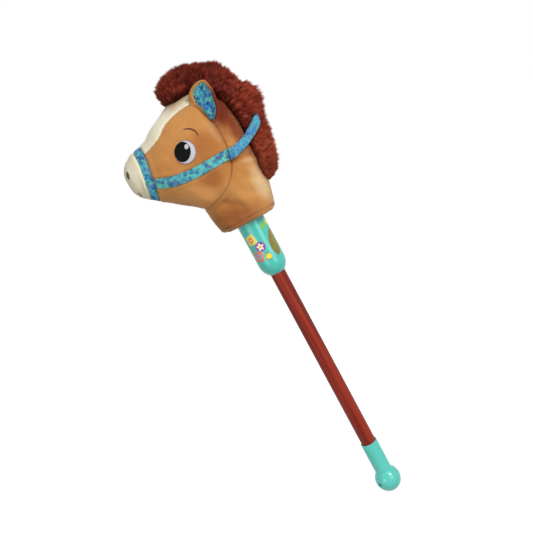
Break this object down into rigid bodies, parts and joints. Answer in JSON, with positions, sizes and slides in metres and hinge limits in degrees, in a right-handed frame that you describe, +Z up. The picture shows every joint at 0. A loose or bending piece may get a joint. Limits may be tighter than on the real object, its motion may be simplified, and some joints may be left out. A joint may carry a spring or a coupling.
{
  "type": "hobby horse",
  "caption": "Child's stick horse: a stuffed horse's head with fur mane, ears, printed bridle and rein, on a plastic stick with grip sleeve and round end knob.",
  "frame": {"origin": "centre of the end knob's flat foot", "axes": "+Z up along the stick, -X the way the horse looks, -Y the horse's left side, which the picture shows"},
  "size_m": [0.2454, 0.124, 0.7892],
  "materials": {
    "stick_tube": "satin",
    "stick_top_cap": "moulded",
    "end_knob": "moulded, satin",
    "grip_sleeve": "moulded, satin, printed",
    "sleeve_lower_collar": "moulded",
    "sleeve_upper_collar": "moulded",
    "sleeve_cross_pin": "drawn",
    "head_stuffing": "loose fibre wadding",
    "neck_stuffing": "loose fibre wadding",
    "blaze_panel": "short velour pile",
    "neck_base_panel": "short velour pile",
    "neck_tie": "moulded",
    "mane": "long fur pile",
    "noseband": "printed woven band",
    "rein_loop": "printed woven band",
    "muzzle_panel_left": "short velour pile",
    "face_panel_left": "short velour pile",
    "neck_panel_left": "short velour pile",
    "cheek_strap_left": "printed woven band",
    "rein_stitch_left": "thread",
    "ear_back_left": "short velour pile",
    "ear_lining_left": "printed cloth",
    "eye_white_left": "satin stitch",
    "eye_pupil_left": "satin stitch",
    "eye_glint_left": "satin stitch",
    "nostril_left": "satin stitch",
    "brow_left": "satin stitch",
    "mouth_left": "satin stitch",
    "muzzle_panel_right": "short velour pile",
    "face_panel_right": "short velour pile",
    "neck_panel_right": "short velour pile",
    "cheek_strap_right": "printed woven band",
    "rein_stitch_right": "thread",
    "ear_back_right": "short velour pile",
    "ear_lining_right": "printed cloth",
    "eye_white_right": "satin stitch",
    "eye_pupil_right": "satin stitch",
    "eye_glint_right": "satin stitch",
    "nostril_right": "satin stitch",
    "brow_right": "satin stitch",
    "mouth_right": "satin stitch"
  },
  "bodies": {
    "head_and_stick": {"stick_tube": "stick_tube", "stick_top_cap": "stick_top_cap", "end_knob": "end_knob", "grip_sleeve": "grip_sleeve", "sleeve_lower_collar": "sleeve_lower_collar", "sleeve_upper_collar": "sleeve_upper_collar", "sleeve_cross_pin": "sleeve_cross_pin", "head_stuffing": "head_stuffing", "neck_stuffing": "neck_stuffing", "blaze_panel": "blaze_panel", "neck_base_panel": "neck_base_panel", "neck_tie": "neck_tie", "mane": "mane", "noseband": "noseband", "muzzle_panel_left": "muzzle_panel_left", "face_panel_left": "face_panel_left", "neck_panel_left": "neck_panel_left", "cheek_strap_left": "cheek_strap_left", "rein_stitch_left": "rein_stitch_left", "eye_white_left": "eye_white_left", "eye_pupil_left": "eye_pupil_left", "eye_glint_left": "eye_glint_left", "nostril_left": "nostril_left", "brow_left": "brow_left", "mouth_left": "mouth_left", "muzzle_panel_right": "muzzle_panel_right", "face_panel_right": "face_panel_right", "neck_panel_right": "neck_panel_right", "cheek_strap_right": "cheek_strap_right", "rein_stitch_right": "rein_stitch_right", "eye_white_right": "eye_white_right", "eye_pupil_right": "eye_pupil_right", "eye_glint_right": "eye_glint_right", "nostril_right": "nostril_right", "brow_right": "brow_right", "mouth_right": "mouth_right"},
    "rein": {"rein_loop": "rein_loop"},
    "ear_left": {"ear_back_left": "ear_back_left", "ear_lining_left": "ear_lining_left"},
    "ear_right": {"ear_back_right": "ear_back_right", "ear_lining_right": "ear_lining_right"}
  },
  "joints": [
    {"name": "rein_swing", "type": "hinge", "parent": "head_and_stick", "child": "rein", "pos_m": [0.02, 0, 0.6339], "axis": [0, 1, 0], "range_deg": [0, 40], "stiffness_Nm_per_rad": 0.01, "springref_deg": -17.19},
    {"name": "ear_left_flop", "type": "hinge", "parent": "head_and_stick", "child": "ear_left", "pos_m": [0.01365, -0.04331, 0.7068], "axis": [0.3892, -0.2278, -0.8925], "range_deg": [-4, 30], "stiffness_Nm_per_rad": 0.02},
    {"name": "ear_right_flop", "type": "hinge", "parent": "head_and_stick", "child": "ear_right", "pos_m": [0.01365, 0.04331, 0.7068], "axis": [-0.3892, -0.2278, 0.8925], "range_deg": [-4, 30], "stiffness_Nm_per_rad": 0.02}
  ]
}
